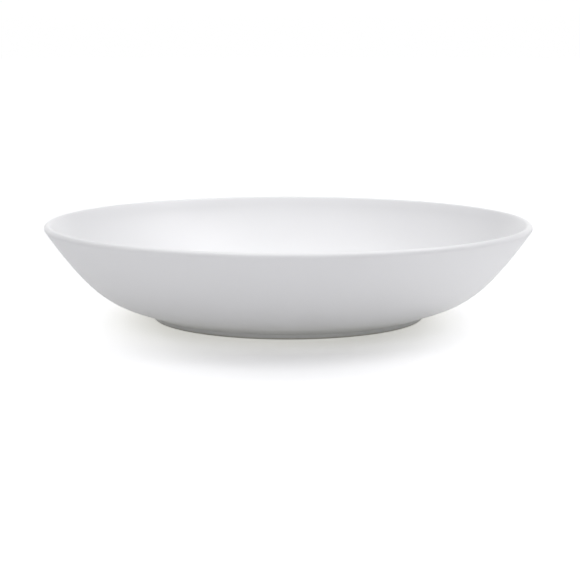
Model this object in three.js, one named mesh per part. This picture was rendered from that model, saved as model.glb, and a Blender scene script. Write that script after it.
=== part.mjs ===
// A wide, shallow serving bowl for pasta, in white glazed ceramic.
// Millimetres and degrees, +Z up. The origin is on the table, at the centre of the foot ring.
import * as THREE from "three";

// Sizes over the glaze, as a ruler reads them on the finished bowl
const RIM_DIAMETER = 330;
const BOWL_HEIGHT = 65;
const LIP_THICKNESS = 4.8;
const WALL_THICKNESS = 3.2; // below the lip
const WALL_THICKNESS_AT_FOOT = 9;
const BASE_THICKNESS = 5.5;
const FOOT_DIAMETER = 186;

// The foot ring's bare clay
const FOOT_HEIGHT = 4;
const FOOT_WIDTH = 7.5;
const FOOT_EDGE_RADIUS = 1.2;

// The glaze, which pools in the two corners beside the foot ring and is wiped off near the table
const GLAZE_THICKNESS = 0.4;
const GLAZE_FILLET = 1.2;
const WIPED_HEIGHT = 1.2;
const BOND_GAP = 0.3; // clearance between pieces that the kiln bonds together

// The curve of the wall: its slope at each end, and how far it keeps that slope, as a share of its chord
const WALL_ANGLE_AT_FOOT = 21;
const WALL_ANGLE_AT_LIP = 55.5;
const FULLNESS_AT_FOOT = 0.3;
const FULLNESS_AT_LIP = 0.68;
const LIP_SWELL = 26; // how close to the lip the wall swells to its thickness: more is closer

// Facets
const TURN_STEPS = 64;
const WALL_STEPS = 10;
const LIP_STEPS = 2; // on each of the lip's three stretches
const WELL_STEPS = 4;
const FILLET_STEPS = 2;
const EDGE_STEPS = 3;

const lipSlope = THREE.MathUtils.degToRad(WALL_ANGLE_AT_LIP);
const footSlope = THREE.MathUtils.degToRad(WALL_ANGLE_AT_FOOT);
const QUARTER_TURN = Math.PI / 2;

// Profiles lie in a half plane: x is the distance from the axis and y the height.
const point = (x, y) => new THREE.Vector2(x, y);
const along = (angle) => point(Math.cos(angle), Math.sin(angle));
const moved = (from, direction, distance) => from.clone().addScaledVector(direction, distance);

// A station is a point of a surface with the normal that leaves the material there.
const station = (place, normal) => ({ place, normal });

// Stations along a curve whose open side is on the left of its direction of travel.
function stationsOn(curve, steps) {
  return Array.from({ length: steps + 1 }, (_, i) => {
    const tangent = curve.getTangent(i / steps);
    return station(curve.getPoint(i / steps), point(-tangent.y, tangent.x));
  });
}

// Stations round an arc. Its normals point away from the centre on a bulge, and to the centre in a hollow.
function stationsRound(centre, radius, fromAngle, toAngle, steps, hollow = false) {
  return Array.from({ length: steps + 1 }, (_, i) => {
    const spoke = along(THREE.MathUtils.lerp(fromAngle, toAngle, i / steps));
    return station(moved(centre, spoke, radius), spoke.clone().multiplyScalar(hollow ? -1 : 1));
  });
}

// The surface's points, sunk below it by a depth.
const sunk = (stations, depth) => stations.map(({ place, normal }) => moved(place, normal, -depth));

// Drops each point that repeats the one before it, as where two stretches of a profile meet.
function withoutRepeats(points) {
  const CLOSE = 1e-4;
  return points.filter((p, i) => i === 0 || p.distanceTo(points[i - 1]) > CLOSE);
}

// A solid turned about the vertical axis from a profile that keeps the material on its right.
function turned(points) {
  const geometry = new THREE.LatheGeometry(withoutRepeats(points).reverse(), TURN_STEPS);
  return geometry.rotateX(QUARTER_TURN);
}

// Heights and radii that several pieces share
const coatDepth = GLAZE_THICKNESS + BOND_GAP; // from the glazed surface down to the clay
const undersideHeight = FOOT_HEIGHT + BOND_GAP; // the clay body's flat underside
const undersideGlazed = undersideHeight - coatDepth;
const floorHeight = undersideGlazed + BASE_THICKNESS;
const footOuterRadius = FOOT_DIAMETER / 2 - coatDepth;
const footInnerRadius = footOuterRadius - FOOT_WIDTH;

// The outside of the wall, from the pooled glaze at the foot up to the lip
const lipRadius = LIP_THICKNESS / 2;
const lipCentre = point(RIM_DIAMETER / 2 - lipRadius, BOWL_HEIGHT - lipRadius);
const wallTop = moved(lipCentre, along(lipSlope - QUARTER_TURN), lipRadius);
const filletTangent = GLAZE_FILLET * Math.tan((QUARTER_TURN - footSlope) / 2);
const wallFoot = point(
  FOOT_DIAMETER / 2 + filletTangent * Math.cos(footSlope),
  undersideHeight - coatDepth * Math.cos(footSlope),
);
const wallChord = wallFoot.distanceTo(wallTop);
const outsideOfWall = new THREE.CubicBezierCurve(
  wallFoot,
  moved(wallFoot, along(footSlope), FULLNESS_AT_FOOT * wallChord),
  moved(wallTop, along(lipSlope), -FULLNESS_AT_LIP * wallChord),
  wallTop,
);

// The inside of the wall: the outside moved in by a thickness that falls from the foot and swells at the lip
function insideOfWall() {
  return stationsOn(outsideOfWall, WALL_STEPS).map(({ place, normal }, i) => {
    const thinned = THREE.MathUtils.smoothstep(i, 0, WALL_STEPS);
    const swell = (LIP_THICKNESS - WALL_THICKNESS) * (i / WALL_STEPS) ** LIP_SWELL;
    const thickness = THREE.MathUtils.lerp(WALL_THICKNESS_AT_FOOT, WALL_THICKNESS, thinned) + swell;
    return station(moved(place, normal, thickness), normal);
  });
}

// The flat floor and the round turn that runs tangent from it into the wall
function floorAndTurn(wallStart) {
  const turnLength = (wallStart.y - floorHeight) / Math.sin(footSlope);
  const corner = moved(wallStart, along(footSlope), -turnLength);
  const floorEdge = moved(corner, point(1, 0), -turnLength);
  const turn = new THREE.QuadraticBezierCurve(floorEdge, corner, wallStart);
  return [station(point(0, floorHeight), point(0, 1)), ...stationsOn(turn, WELL_STEPS)];
}

const inside = insideOfWall();

// The lip is half round, and has facet edges at its topmost and its outermost point
const lipStretch = (fromAngle, toAngle) =>
  stationsRound(lipCentre, lipRadius, fromAngle, toAngle, LIP_STEPS);
const lip = [
  ...lipStretch(lipSlope + QUARTER_TURN, QUARTER_TURN),
  ...lipStretch(QUARTER_TURN, 0),
  ...lipStretch(0, lipSlope - QUARTER_TURN),
];

const outside = stationsOn(outsideOfWall, WALL_STEPS)
  .reverse()
  .map(({ place, normal }) => station(place, normal.clone().negate()));
const bowlSurface = [...floorAndTurn(inside[0].place), ...inside, ...lip, ...outside];

// The pooled glaze outside the foot ring, and the ring's glazed side down to the wiped edge
const outerPool = stationsRound(
  moved(wallFoot, along(footSlope - QUARTER_TURN), GLAZE_FILLET),
  GLAZE_FILLET,
  footSlope + QUARTER_TURN,
  Math.PI,
  FILLET_STEPS,
  true,
);
const outerWipedEdge = station(point(FOOT_DIAMETER / 2, WIPED_HEIGHT), point(1, 0));

function glazeCoat() {
  const surface = [...bowlSurface, ...outerPool, outerWipedEdge];
  return turned([...sunk(surface, 0), ...sunk(surface, GLAZE_THICKNESS).reverse()]);
}

// The clay body under that glaze, closed by the flat underside that the foot ring is joined to
function bowlBody() {
  return turned([...sunk(bowlSurface, coatDepth), point(0, undersideHeight)]);
}

// The ring under the body, with rounded edges each side of the flat face that it stands on
function footRing() {
  const edge = (centreRadius, fromAngle) =>
    stationsRound(
      point(centreRadius, FOOT_EDGE_RADIUS),
      FOOT_EDGE_RADIUS,
      fromAngle,
      fromAngle - QUARTER_TURN,
      EDGE_STEPS,
    );
  const outerEdge = edge(footOuterRadius - FOOT_EDGE_RADIUS, 0);
  const innerEdge = edge(footInnerRadius + FOOT_EDGE_RADIUS, -QUARTER_TURN);
  const seat = [point(footInnerRadius, FOOT_HEIGHT), point(footOuterRadius, FOOT_HEIGHT)];
  return turned([...seat, ...sunk([...outerEdge, ...innerEdge], 0), seat[0]]);
}

// The glaze inside the foot ring: over the underside, round the corner and down to the wiped edge
function baseGlaze() {
  const sideRadius = footInnerRadius - coatDepth;
  const poolCentre = point(sideRadius - GLAZE_FILLET, undersideGlazed - GLAZE_FILLET);
  const innerPool = stationsRound(poolCentre, GLAZE_FILLET, 0, QUARTER_TURN, FILLET_STEPS, true);
  const wipedEdge = station(point(sideRadius, WIPED_HEIGHT), point(-1, 0));
  const middle = station(point(0, undersideGlazed), point(0, -1));
  const surface = [wipedEdge, ...innerPool, middle];
  return turned([...sunk(surface, GLAZE_THICKNESS).reverse(), ...sunk(surface, 0)]);
}

const glaze = { color: 0xf4f4f5, roughness: 0.22, metalness: 0 };
const clay = { color: 0xece8df, roughness: 0.85, metalness: 0 };

function piece(name, geometry, finish) {
  const mesh = new THREE.Mesh(geometry, new THREE.MeshStandardMaterial(finish));
  mesh.name = name;
  return mesh;
}

const bowl = new THREE.Group();
bowl.add(
  piece("bowl_body", bowlBody(), clay),
  piece("foot_ring", footRing(), clay),
  piece("glaze_coat", glazeCoat(), glaze),
  piece("base_glaze", baseGlaze(), glaze),
);

export default bowl;
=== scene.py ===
"""A white glazed serving bowl for pasta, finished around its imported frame. Lengths are in metres."""
import math

import bmesh
import bpy
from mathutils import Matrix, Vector

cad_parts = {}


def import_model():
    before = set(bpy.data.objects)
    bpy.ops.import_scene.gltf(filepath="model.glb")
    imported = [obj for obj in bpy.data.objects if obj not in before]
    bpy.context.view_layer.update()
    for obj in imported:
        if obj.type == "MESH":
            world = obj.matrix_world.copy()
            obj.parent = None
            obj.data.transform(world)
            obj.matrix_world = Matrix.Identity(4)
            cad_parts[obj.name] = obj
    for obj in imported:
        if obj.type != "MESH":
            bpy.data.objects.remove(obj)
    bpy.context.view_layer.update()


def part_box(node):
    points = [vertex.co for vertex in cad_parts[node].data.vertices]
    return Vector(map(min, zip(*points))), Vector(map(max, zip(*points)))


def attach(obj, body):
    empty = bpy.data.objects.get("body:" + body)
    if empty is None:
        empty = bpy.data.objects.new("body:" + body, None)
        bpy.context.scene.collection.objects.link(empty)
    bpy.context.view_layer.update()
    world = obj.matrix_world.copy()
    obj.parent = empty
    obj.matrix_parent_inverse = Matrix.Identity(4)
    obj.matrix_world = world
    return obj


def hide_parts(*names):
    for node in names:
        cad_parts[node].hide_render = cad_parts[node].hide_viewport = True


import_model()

MM = 0.001
QUARTER_TURN = math.pi / 2

# Sizes of the bowl that its boxes in the frame don't show
LIP_THICKNESS = 4.8 * MM
WALL_THICKNESS = 3.2 * MM  # below the lip
WALL_THICKNESS_AT_FOOT = 9 * MM
BASE_THICKNESS = 5.5 * MM
FOOT_EDGE_RADIUS = 1.2 * MM
GLAZE_FILLET = 1.2 * MM
WALL_ANGLE_AT_FOOT = math.radians(21)
WALL_ANGLE_AT_LIP = math.radians(55.5)
FULLNESS_AT_FOOT = 0.3
FULLNESS_AT_LIP = 0.68
LIP_SWELL = 26  # how close to the lip the wall swells to its thickness: more is closer
BOND = 0.02 * MM  # left between the glaze and the clay that it is fired to

# Fineness of the turned pieces
TURN_STEPS = 240
FLOOR_STEPS = 10
WELL_STEPS = 12
WALL_STEPS = 36
LIP_STEPS = 18
FILLET_STEPS = 8
EDGE_STEPS = 8
BEAD_STEPS = 6
WELD = 0.001 * MM

# Sizes that the frame gives
rim_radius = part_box("glaze_coat")[1].x
bowl_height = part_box("glaze_coat")[1].z
wiped_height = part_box("glaze_coat")[0].z
coat_depth = rim_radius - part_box("bowl_body")[1].x
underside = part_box("bowl_body")[0].z
underside_glazed = underside - coat_depth
floor_height = underside_glazed + BASE_THICKNESS
foot_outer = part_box("foot_ring")[1].x
foot_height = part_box("foot_ring")[1].z
bond_gap = underside - foot_height
foot_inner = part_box("base_glaze")[1].x + bond_gap
foot_glazed = foot_outer + coat_depth


# Outlines lie in the XZ plane. A station is a place on a surface and the normal that leaves the material.
def at(x, z):
    return Vector((x, 0, z))


def along(angle):
    return at(math.cos(angle), math.sin(angle))


def stations_on(corners, steps):
    """Stations along a Bezier curve whose open side is on the left of its direction."""
    found = []
    for i in range(steps + 1):
        line = corners
        while len(line) > 2:
            line = [a.lerp(b, i / steps) for a, b in zip(line, line[1:])]
        direction = (line[1] - line[0]).normalized()
        found.append((line[0].lerp(line[1], i / steps), at(-direction.z, direction.x)))
    return found


def stations_round(centre, radius, start, end, steps, hollow=False):
    """Stations round an arc: their normals leave the centre on a bulge and meet it in a hollow."""
    spokes = [along(start + (end - start) * i / steps) for i in range(steps + 1)]
    return [(centre + spoke * radius, -spoke if hollow else spoke) for spoke in spokes]


def sunk(stations, depth):
    """The surface's places, moved into the material by a depth."""
    return [place - normal * depth for place, normal in stations]


def bead(top, outward):
    """The rounded end of a glaze coat, from its visible side round to the clay."""
    radius = (coat_depth - BOND) / 2
    centre = top - outward * radius + at(0, radius)
    angle = 0 if outward.x > 0 else math.pi
    turn = -math.pi if outward.x > 0 else math.pi
    return sunk(stations_round(centre, radius, angle, angle + turn, BEAD_STEPS), 0)


# The wall: one curve outside, and inside it a thickness that falls from the foot and swells at the lip
lip_radius = LIP_THICKNESS / 2
lip_centre = at(rim_radius - lip_radius, bowl_height - lip_radius)
wall_top = lip_centre + along(WALL_ANGLE_AT_LIP - QUARTER_TURN) * lip_radius
fillet_tangent = GLAZE_FILLET * math.tan((QUARTER_TURN - WALL_ANGLE_AT_FOOT) / 2)
wall_foot = at(
    foot_glazed + fillet_tangent * math.cos(WALL_ANGLE_AT_FOOT),
    underside - coat_depth * math.cos(WALL_ANGLE_AT_FOOT),
)
wall_chord = (wall_top - wall_foot).length
wall_curve = [
    wall_foot,
    wall_foot + along(WALL_ANGLE_AT_FOOT) * FULLNESS_AT_FOOT * wall_chord,
    wall_top - along(WALL_ANGLE_AT_LIP) * FULLNESS_AT_LIP * wall_chord,
    wall_top,
]


def inside_of_wall():
    """The glazed inside of the wall, from the foot up to the lip."""
    found = []
    for i, (place, normal) in enumerate(stations_on(wall_curve, WALL_STEPS)):
        share = i / WALL_STEPS
        thinned = share * share * (3 - 2 * share)
        thickness = WALL_THICKNESS_AT_FOOT + (WALL_THICKNESS - WALL_THICKNESS_AT_FOOT) * thinned
        swell = (LIP_THICKNESS - WALL_THICKNESS) * share ** LIP_SWELL
        found.append((place + normal * (thickness + swell), normal))
    return found


def floor_and_turn(wall_start):
    """The flat floor of the well, and the round turn that runs tangent from it into the wall."""
    turn_length = (wall_start.z - floor_height) / math.sin(WALL_ANGLE_AT_FOOT)
    corner = wall_start - along(WALL_ANGLE_AT_FOOT) * turn_length
    floor_edge = corner - at(turn_length, 0)
    flat = [(at(floor_edge.x * i / FLOOR_STEPS, floor_height), at(0, 1)) for i in range(FLOOR_STEPS)]
    return flat + stations_on([floor_edge, corner, wall_start], WELL_STEPS)


def bowl_surface():
    """The glazed surface from the middle of the well, over the lip, to the foot of the wall outside."""
    inside = inside_of_wall()
    start, end = WALL_ANGLE_AT_LIP + QUARTER_TURN, WALL_ANGLE_AT_LIP - QUARTER_TURN
    lip = stations_round(lip_centre, lip_radius, start, end, LIP_STEPS)
    outside = [(place, -normal) for place, normal in reversed(stations_on(wall_curve, WALL_STEPS))]
    return floor_and_turn(inside[0][0]) + inside + lip + outside


def turned(name, outline, closed=False):
    """A piece turned about the vertical axis from its outline."""
    shape = bmesh.new()
    points = [p for i, p in enumerate(outline) if i == 0 or (p - outline[i - 1]).length > WELD]
    verts = [shape.verts.new(p) for p in points]
    ends = verts[1:] + verts[:1] if closed else verts[1:]
    edges = [shape.edges.new(pair) for pair in zip(verts, ends)]
    bmesh.ops.spin(
        shape,
        geom=verts + edges,
        cent=(0, 0, 0),
        axis=(0, 0, 1),
        angle=math.tau,
        steps=TURN_STEPS,
        use_merge=True,
    )
    bmesh.ops.remove_doubles(shape, verts=shape.verts[:], dist=WELD)
    bmesh.ops.recalc_face_normals(shape, faces=shape.faces[:])
    mesh = bpy.data.meshes.new(name)
    shape.to_mesh(mesh)
    shape.free()
    mesh.shade_smooth()
    piece = bpy.data.objects.new(name, mesh)
    bpy.context.scene.collection.objects.link(piece)
    return piece


def white_glaze_coat():
    """The glaze over the inside, the lip and the outside, ending in a bead above the table."""
    pool_centre = wall_foot + along(WALL_ANGLE_AT_FOOT - QUARTER_TURN) * GLAZE_FILLET
    pool = stations_round(
        pool_centre, GLAZE_FILLET, WALL_ANGLE_AT_FOOT + QUARTER_TURN, math.pi, FILLET_STEPS, hollow=True
    )
    surface = bowl_surface() + pool
    end = bead(at(foot_glazed, wiped_height), at(1, 0))
    hidden = sunk(surface, coat_depth - BOND)
    return turned("white_glaze_coat", sunk(surface, 0) + end + hidden[::-1])


def clay_body():
    """The clay under the glaze, closed by its flat underside."""
    return turned("clay_body", sunk(bowl_surface(), coat_depth) + [at(0, underside)])


def bare_foot_ring():
    """The clay ring, rounded each side of the flat face that it stands on."""
    section = [at(foot_inner, foot_height), at(foot_outer, foot_height)]
    for x, start in ((foot_outer - FOOT_EDGE_RADIUS, 0), (foot_inner + FOOT_EDGE_RADIUS, -QUARTER_TURN)):
        centre = at(x, FOOT_EDGE_RADIUS)
        edge = stations_round(centre, FOOT_EDGE_RADIUS, start, start - QUARTER_TURN, EDGE_STEPS)
        section += sunk(edge, 0)
    return turned("bare_foot_ring", section, closed=True)


def underside_glaze():
    """The glaze under the base, which turns down inside the foot ring to a bead."""
    side = foot_inner - coat_depth
    pool_centre = at(side - GLAZE_FILLET, underside_glazed - GLAZE_FILLET)
    pool = stations_round(pool_centre, GLAZE_FILLET, QUARTER_TURN, 0, FILLET_STEPS, hollow=True)
    pool_start = pool[0][0].x
    flat = [(at(pool_start * i / FLOOR_STEPS, underside_glazed), at(0, -1)) for i in range(FLOOR_STEPS)]
    surface = flat + pool
    end = bead(at(side, wiped_height), at(-1, 0))
    hidden = sunk(surface, coat_depth - BOND)
    return turned("underside_glaze", sunk(surface, 0) + end + hidden[::-1])


class Wire:
    """A number on its way between nodes, which takes Python's own operators."""

    def __init__(self, nodes, socket):
        self.nodes = nodes
        self.socket = socket

    def maths(self, operation, first, second):
        return self.nodes.add("Math", {"operation": operation}, {0: first, 1: second})

    def __add__(self, other):
        return self.maths("ADD", self, other)

    def __sub__(self, other):
        return self.maths("SUBTRACT", self, other)

    def __rsub__(self, other):
        return self.maths("SUBTRACT", other, self)

    def __mul__(self, other):
        return self.maths("MULTIPLY", self, other)

    def __pow__(self, other):
        return self.maths("POWER", self, other)

    def __rpow__(self, other):
        return self.maths("POWER", other, self)

    __radd__ = __add__
    __rmul__ = __mul__


class Nodes:
    """The node tree of a material or of the world."""

    def __init__(self, owner):
        owner.use_nodes = True
        self.tree = owner.node_tree
        self.tree.nodes.clear()

    def add(self, kind, settings=None, sockets=None, output=0):
        """Adds a node, sets it, fills its sockets with values or wires, and gives one of its outputs."""
        node = self.tree.nodes.new("ShaderNode" + kind)
        for name, value in (settings or {}).items():
            setattr(node, name, value)
        for key, value in (sockets or {}).items():
            if isinstance(value, Wire):
                self.tree.links.new(value.socket, node.inputs[key])
            else:
                node.inputs[key].default_value = value
        return Wire(self, node.outputs[output]) if len(node.outputs) else None

    def place(self):
        """Where a point lies on its piece."""
        return self.add("TexCoord", output="Object")

    def part_of(self, vector, axis):
        """A vector's length along one axis: X, Y or Z."""
        return self.add("SeparateXYZ", sockets={0: vector}, output=axis)

    def larger(self, first, second):
        return self.add("Math", {"operation": "MAXIMUM"}, {0: first, 1: second})

    def noise(self, size, detail=2.0, roughness=0.5):
        """Noise from 0 to 1 whose features are about one size across."""
        sockets = {"Vector": self.place(), "Scale": 1 / size, "Detail": detail, "Roughness": roughness}
        return self.add("TexNoise", {"normalize": True}, sockets)

    def ramp(self, value, low, high, from_end=0.0, to_end=1.0):
        """A smooth step from one end to the other as a value goes from low to high."""
        sockets = {"Value": value, 1: low, 2: high, 3: from_end, 4: to_end}
        return self.add("MapRange", {"interpolation_type": "SMOOTHSTEP"}, sockets)

    def seen(self):
        """One on rays that come from the camera, also by gloss or glass, and nothing on rays that light."""
        rays = self.add("LightPath", output="Is Camera Ray")
        for name in ("Is Glossy Ray", "Is Transmission Ray"):
            rays = self.larger(rays, self.add("LightPath", output=name))
        return rays

    def mixed(self, share, first, second):
        """Two colours mixed by a share."""
        return self.add("Mix", {"data_type": "RGBA"}, {0: share, 6: first, 7: second}, output=2)


# The glaze: a white that clouds very faintly, with a soft gloss inside the bowl and a satin outside
GLAZE_WHITE = (0.86, 0.86, 0.878, 1)
GLAZE_CLOUD = (0.848, 0.848, 0.864, 1)
CLOUD_SIZE = 60 * MM
GLOSS_ROUGHNESS = 0.31
SATIN_ROUGHNESS = 0.55
ROUGHNESS_CHANGE = 0.04
ROUGHNESS_PATCH = 18 * MM
TURN_TO_GLOSS = (-0.2, 0.3)  # how far the surface faces up where the satin ends and the gloss begins
PEEL_SIZE = 3.5 * MM
WAVE_SIZE = 14 * MM
WAVE_HEIGHT = 1.5  # against the peel's
PEEL_DEPTH = 0.06 * MM
PEEL_STRENGTH = 0.3

# The bare clay of the foot: off-white, matt and finely grained
CLAY_PALE = (0.82, 0.81, 0.785, 1)
CLAY_DARK = (0.74, 0.725, 0.69, 1)
CLAY_ROUGHNESS = 0.82
CLAY_ROUGHNESS_CHANGE = 0.2
CLAY_PATCH = 22 * MM
GRAIN_SIZE = 0.9 * MM
GRAIN_DEPTH = 0.1 * MM
GRAIN_STRENGTH = 0.5

MIDDLE = 0.5  # of noise that goes from 0 to 1


def ceramic(nodes, colour, roughness, relief, depth, strength):
    """Closes a material with its colour, its roughness and the fine relief of its surface."""
    bump = nodes.add("Bump", sockets={"Strength": strength, "Distance": depth, "Height": relief})
    sockets = {"Base Color": colour, "Roughness": roughness, "Normal": bump}
    nodes.add("OutputMaterial", sockets={"Surface": nodes.add("BsdfPrincipled", sockets=sockets)})


def white_glaze():
    """Smooth white glaze, faintly clouded, with a shallow orange peel and more gloss where it faces up."""
    material = bpy.data.materials.new("white_glaze")
    nodes = Nodes(material)
    colour = nodes.mixed(nodes.noise(CLOUD_SIZE, detail=1), GLAZE_WHITE, GLAZE_CLOUD)
    upward = nodes.part_of(nodes.add("TexCoord", output="Normal"), "Z")
    finish = nodes.ramp(upward, *TURN_TO_GLOSS, SATIN_ROUGHNESS, GLOSS_ROUGHNESS)
    roughness = finish + (nodes.noise(ROUGHNESS_PATCH) - MIDDLE) * ROUGHNESS_CHANGE
    peel = nodes.noise(PEEL_SIZE, detail=1) + nodes.noise(WAVE_SIZE, detail=1) * WAVE_HEIGHT
    ceramic(nodes, colour, roughness, peel, PEEL_DEPTH, PEEL_STRENGTH)
    return material


def bare_clay():
    """Fired clay without glaze, patchy and finely grained."""
    material = bpy.data.materials.new("bare_clay")
    nodes = Nodes(material)
    grain = nodes.noise(GRAIN_SIZE, detail=4, roughness=0.6)
    patch = nodes.noise(CLAY_PATCH, detail=3)
    colour = nodes.mixed((patch + grain) * 0.5, CLAY_PALE, CLAY_DARK)
    roughness = CLAY_ROUGHNESS + (grain - MIDDLE) * CLAY_ROUGHNESS_CHANGE
    ceramic(nodes, colour, roughness, grain, GRAIN_DEPTH, GRAIN_STRENGTH)
    return material


def dress():
    """Makes each piece in place of its node in the frame, and gives it its finish."""
    glaze, clay = white_glaze(), bare_clay()
    for make, node, slot, finish in (
        (clay_body, "bowl_body", "clay", clay),
        (bare_foot_ring, "foot_ring", "clay", clay),
        (white_glaze_coat, "glaze_coat", "glaze", glaze),
        (underside_glaze, "base_glaze", "glaze", glaze),
    ):
        piece = make()
        piece.data.materials.append(finish)
        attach(piece, "root")
        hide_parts(node)


# The studio: a pale floor that the camera sees as white, a dome of light, softboxes and a lit table top
WHITE = (1, 1, 1, 1)
FLOOR_RADIUS = 8.0
FLOOR_SIDES = 96
FLOOR_COLOUR = (0.776, 0.776, 0.79, 1)

# A painted shadow: the floor's glow draws for the camera an oval round the foot that reaches further to the
# front, over the real shadow that the lamps cast
PAINTED_SHADOW_COLOUR = (1, 0.995, 0.925, 1)
SHADOW_LEVEL = 0.61  # brightness in its core
SHADOW_CENTRE = -4 * MM  # across
SHADOW_HALF_WIDTH = 114 * MM
SHADOW_REACH = 194 * MM  # to the front
SHADOW_CORE = 0.6  # share of the oval within which the shadow is even
SHADOW_EDGE = 1.286  # share of the oval at which it has gone
FLOOR_WHITE = 1.06  # brightness there, a little past white

# What the lamps and the dome put on the floor by themselves: under the bowl, clear of it and far off
LIT_CENTRE = (-11.7 * MM, 2.4 * MM)
LIT_UNDER = 0.167
LIT_CLEAR = 0.818
LIT_FAR = 0.487
UNDER_BOWL = 82.4 * MM
CLEAR_OF_BOWL = 216.3 * MM
FAR_OFF = 2.0

DOME_STRENGTH = 0.93  # straight overhead
HORIZON_BAND = 0.17  # sine of the elevation that the white horizon reaches, before it fades

# Softboxes that face the bowl: name, place, width, height and watts
SOFTBOXES = (
    ("overhead", (0, 0, 2.0), 2.0, 1.6, 11.2),
    ("right", (0.95, 0.2, 1.7), 1.0, 1.0, 6.1),
    ("front", (0, -1.5, 1.55), 1.4, 1.0, 4.0),
    ("front_low", (0, -1.8, 0.35), 1.6, 0.5, 1.66),
)

# Panels on the table that shine up, as its lit top does: name, place across, depth, watts and colour
NEUTRAL = (1, 1, 1)
WARM = (1, 1, 0.82)
TABLE_PANELS = (
    ("table", 0, 0.4, 0.031, WARM),
    ("table_right", 0.3, 0.5, 0.082, NEUTRAL),
)
PANEL_WIDTH = 0.4
PANEL_LIFT = 0.2 * MM


def painted_shadow_glow(nodes):
    """The glow that paints the shadow on the floor: what the floor still lacks of the painted brightness
    under the lamps, and how clear it is of the painted shadow.
    """
    place = nodes.place()
    across, depth = (nodes.part_of(place, axis) for axis in "XY")
    behind = nodes.larger(depth, 0.0)
    before = behind - depth
    beside = across - SHADOW_CENTRE
    squares = (beside ** 2 + behind ** 2) * SHADOW_HALF_WIDTH ** -2 + before ** 2 * SHADOW_REACH ** -2
    share = nodes.ramp(squares ** 0.5, SHADOW_CORE, SHADOW_EDGE)
    radius = ((across - LIT_CENTRE[0]) ** 2 + (depth - LIT_CENTRE[1]) ** 2) ** 0.5
    lit = nodes.ramp(radius, UNDER_BOWL, CLEAR_OF_BOWL, LIT_UNDER, LIT_CLEAR)
    lit = lit - nodes.ramp(radius, CLEAR_OF_BOWL, FAR_OFF, 0.0, LIT_CLEAR - LIT_FAR)
    # The painted brightness: the shadow's level in its core, rising to a little past white clear of it
    painted_brightness = SHADOW_LEVEL + share * (FLOOR_WHITE - SHADOW_LEVEL)
    return nodes.larger(painted_brightness - lit, 0.0), share


def floor():
    """A round pale floor. Its glow, which paints the shadow round the bowl and whitens the rest, shows to
    the camera but doesn't light the bowl.
    """
    shape = bmesh.new()
    bmesh.ops.create_circle(shape, cap_ends=True, segments=FLOOR_SIDES, radius=FLOOR_RADIUS)
    mesh = bpy.data.meshes.new("floor")
    shape.to_mesh(mesh)
    shape.free()
    board = bpy.data.objects.new("floor", mesh)
    bpy.context.scene.collection.objects.link(board)
    material = bpy.data.materials.new("pale_floor")
    nodes = Nodes(material)
    glow, share = painted_shadow_glow(nodes)
    lit = nodes.add("BsdfDiffuse", sockets={"Color": FLOOR_COLOUR})
    # The painted shadow is tinted warm in its core and white where it has gone
    painted_tint = nodes.mixed(share, PAINTED_SHADOW_COLOUR, WHITE)
    colour = nodes.add("VectorMath", {"operation": "SCALE"}, {0: painted_tint, "Scale": glow * nodes.seen()})
    shine = nodes.add("Emission", sockets={"Color": colour})
    nodes.add("OutputMaterial", sockets={"Surface": nodes.add("AddShader", sockets={0: lit, 1: shine})})
    mesh.materials.append(material)


def world():
    """A dome of light, bright overhead and dark low down, where the camera sees a white horizon."""
    sky = bpy.data.worlds.new("studio")
    bpy.context.scene.world = sky
    nodes = Nodes(sky)
    up = nodes.part_of(nodes.add("TexCoord", output="Generated"), "Z")
    dome = nodes.larger(up, 0.0) * DOME_STRENGTH
    horizon = nodes.ramp(up, HORIZON_BAND, 2 * HORIZON_BAND, 1.0, 0.0) * nodes.seen()
    light = nodes.add("Background", sockets={"Color": WHITE, "Strength": dome + horizon})
    nodes.add("OutputWorld", sockets={"Surface": light})


def softbox(name, place, aim, width, height, watts, colour=NEUTRAL):
    """A lamp with a flat face that shines from its place to its aim, and that the camera doesn't see."""
    lamp = bpy.data.lights.new(name, "AREA")
    lamp.shape = "RECTANGLE"
    lamp.size, lamp.size_y = width, height
    lamp.energy = watts
    lamp.color = colour
    box = bpy.data.objects.new(name, lamp)
    box.location = place
    box.rotation_euler = (Vector(aim) - Vector(place)).to_track_quat("-Z", "Y").to_euler()
    box.visible_camera = False
    bpy.context.scene.collection.objects.link(box)


def lights():
    middle = (0, 0, bowl_height / 2)
    for name, place, width, height, watts in SOFTBOXES:
        softbox(name, place, middle, width, height, watts)
    for name, across, depth, watts, colour in TABLE_PANELS:
        softbox(name, (across, 0, PANEL_LIFT), (across, 0, 1), PANEL_WIDTH, depth, watts, colour)


# The camera, where the photo was taken from
CAMERA_PLACE = (1.1 * MM, -1155 * MM, 200.3 * MM)
CAMERA_PITCH = math.radians(9)
CAMERA_LENS = 105.8
SENSOR_WIDTH = 36.0


def camera():
    view = bpy.data.cameras.new("camera")
    view.lens = CAMERA_LENS
    view.sensor_width = SENSOR_WIDTH
    eye = bpy.data.objects.new("camera", view)
    eye.location = CAMERA_PLACE
    eye.rotation_euler = (QUARTER_TURN - CAMERA_PITCH, 0, 0)
    bpy.context.scene.collection.objects.link(eye)
    bpy.context.scene.camera = eye


dress()
floor()
world()
lights()
camera()
bpy.context.scene.view_settings.view_transform = "Standard"
